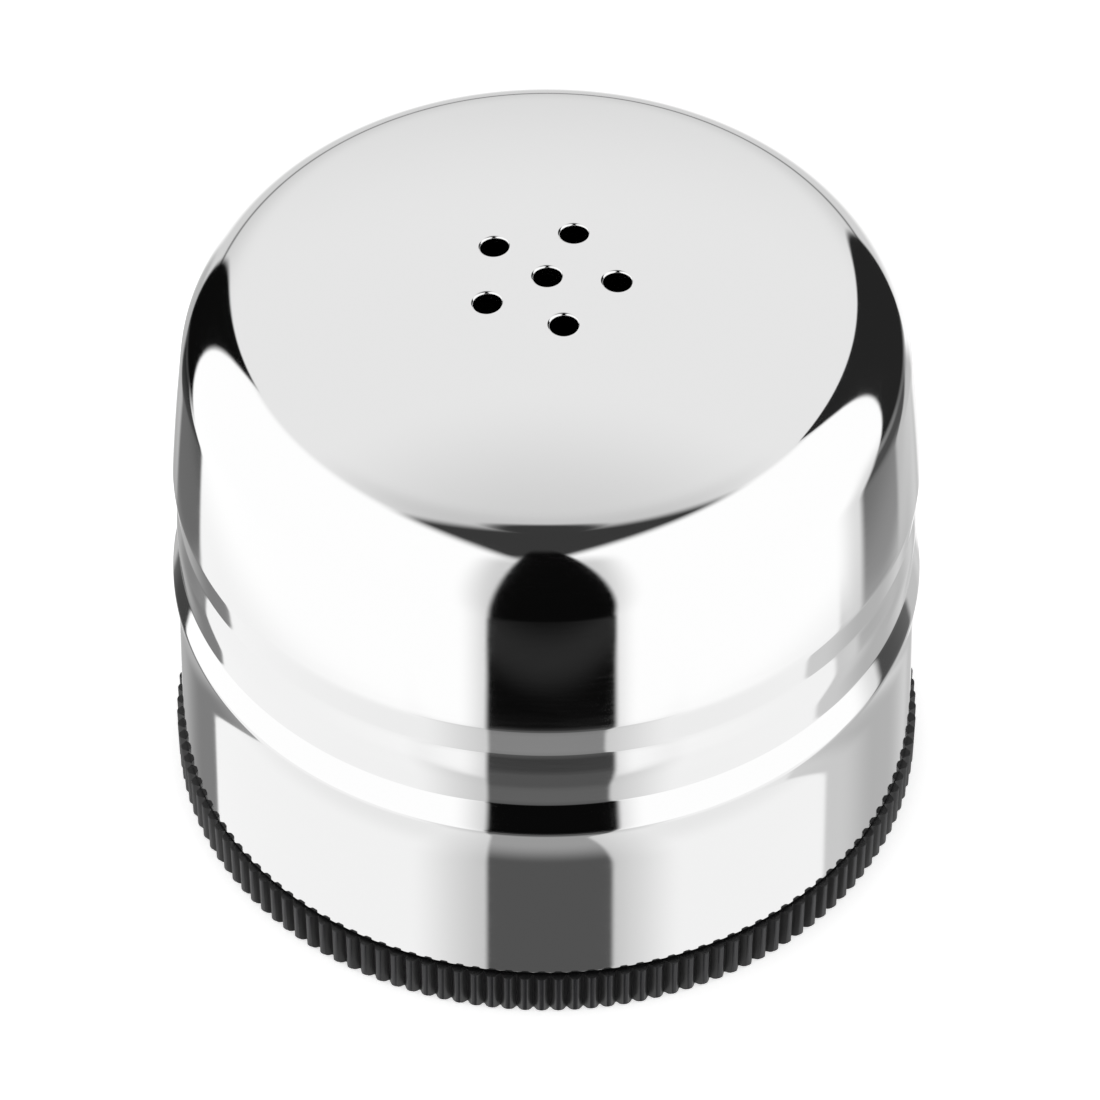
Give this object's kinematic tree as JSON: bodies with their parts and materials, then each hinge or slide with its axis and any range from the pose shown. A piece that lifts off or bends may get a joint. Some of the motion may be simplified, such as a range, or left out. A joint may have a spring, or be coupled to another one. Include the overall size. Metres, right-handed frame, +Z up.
{
  "type": "spice shaker",
  "caption": "Squat round spice shaker: polished steel shell with punched pouring holes on a knurled screw-off base.",
  "frame": {"origin": "middle of the underside, on the plane that the shaker stands on", "axes": "+Z up through the middle of the crown; -Y faces the viewer of the picture"},
  "size_m": [0.0464, 0.0464, 0.0389],
  "materials": {
    "polished_steel": "mirror-polished stainless steel",
    "collar_plastic": "moulded black polypropylene",
    "seal_rubber": "soft black sealing rubber",
    "base_plastic": "moulded black polypropylene, satin"
  },
  "bodies": {
    "base": {"base_cap": "base_plastic"},
    "seal": {"seal_ring": "seal_rubber"},
    "shell": {"shell": "polished_steel", "threaded_collar": "collar_plastic"}
  },
  "joints": [
    {"name": "shell_unscrew", "type": "hinge", "parent": "base", "child": "seal", "pos_m": [0, 0, 0], "axis": [0, 0, 1], "range_deg": [0, 1080]},
    {"name": "shell_lift", "type": "slide", "parent": "seal", "child": "shell", "axis": [0, 0, 1], "range_m": [0, 0.009]}
  ],
  "couplings": [
    {"joint": "shell_lift", "follows": "shell_unscrew", "m_per_rad": 0.00047746}
  ]
}
